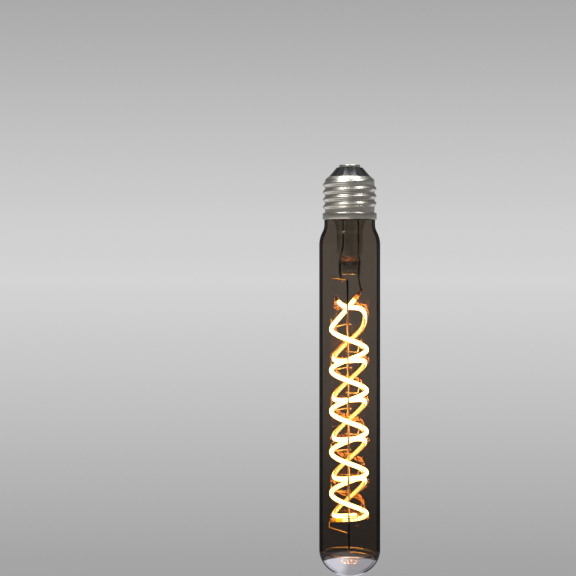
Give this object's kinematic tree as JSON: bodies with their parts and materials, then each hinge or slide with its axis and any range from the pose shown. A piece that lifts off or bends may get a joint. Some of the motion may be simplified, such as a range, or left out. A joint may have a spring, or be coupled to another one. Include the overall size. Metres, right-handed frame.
{
  "type": "tubular light bulb",
  "caption": "Tubular smoked-glass LED lamp with wound filaments on a wire support, and a medium screw cap; it hangs cap up.",
  "frame": {"origin": "on the lamp's axis, at the mouth of the screw cap", "axes": "+Z along the axis towards the centre contact, up as the lamp hangs; +X to the right and +Y away from the viewer in the picture"},
  "size_m": [0.03, 0.03, 0.2027],
  "materials": {
    "smoked_glass": "blown soda-lime glass, smoke tinted, gloss",
    "clear_glass": "clear lead-free glass, gloss",
    "lead_wire": "drawn nickel-iron wire, darkened by sealing",
    "nickel_wire": "drawn nickel-plated steel wire, semi-gloss",
    "link_wire": "tinned copper wire, semi-gloss",
    "end_strip": "stamped nickel strip, satin",
    "phosphor_silicone": "phosphor-filled silicone, satin, lit warm white",
    "nickel_plated_brass": "nickel-plated rolled brass, semi-gloss",
    "black_glass": "fused black glass, gloss",
    "cement": "cured basing cement, matte",
    "circuit_board": "glass-epoxy board with green solder mask, satin",
    "moulded_epoxy": "moulded black epoxy, matte",
    "aluminium_can": "sleeved aluminium can, satin",
    "resistor_coating": "cement-coated wirewound resistor, matte"
  },
  "bodies": {
    "root": {"basing_cement": "cement", "cap_insulator": "black_glass", "capacitor": "aluminium_can", "centre_contact": "nickel_plated_brass", "chip_resistor_1": "moulded_epoxy", "chip_resistor_2": "moulded_epoxy", "contact_wire": "link_wire", "driver_board": "circuit_board", "driver_chip": "moulded_epoxy", "exhaust_tube": "clear_glass", "front_hook_1": "nickel_wire", "front_hook_2": "nickel_wire", "front_hook_3": "nickel_wire", "front_hook_4": "nickel_wire", "front_hook_5": "nickel_wire", "fuse_resistor": "resistor_coating", "glass_bulb": "smoked_glass", "glass_stem": "clear_glass", "inner_bottom_link": "link_wire", "inner_bottom_tab": "end_strip", "inner_filament": "phosphor_silicone", "inner_top_link": "link_wire", "inner_top_tab": "end_strip", "lead_wire_left": "lead_wire", "lead_wire_right": "lead_wire", "outer_bottom_tab": "end_strip", "outer_filament": "phosphor_silicone", "outer_top_tab": "end_strip", "rear_hook_1": "nickel_wire", "rear_hook_2": "nickel_wire", "rear_hook_3": "nickel_wire", "rear_hook_4": "nickel_wire", "rear_hook_5": "nickel_wire", "rectifier": "moulded_epoxy", "rod_link_wire": "link_wire", "screw_shell": "nickel_plated_brass", "shell_wire": "link_wire", "support_rod": "nickel_wire"}
  },
  "joints": []
}
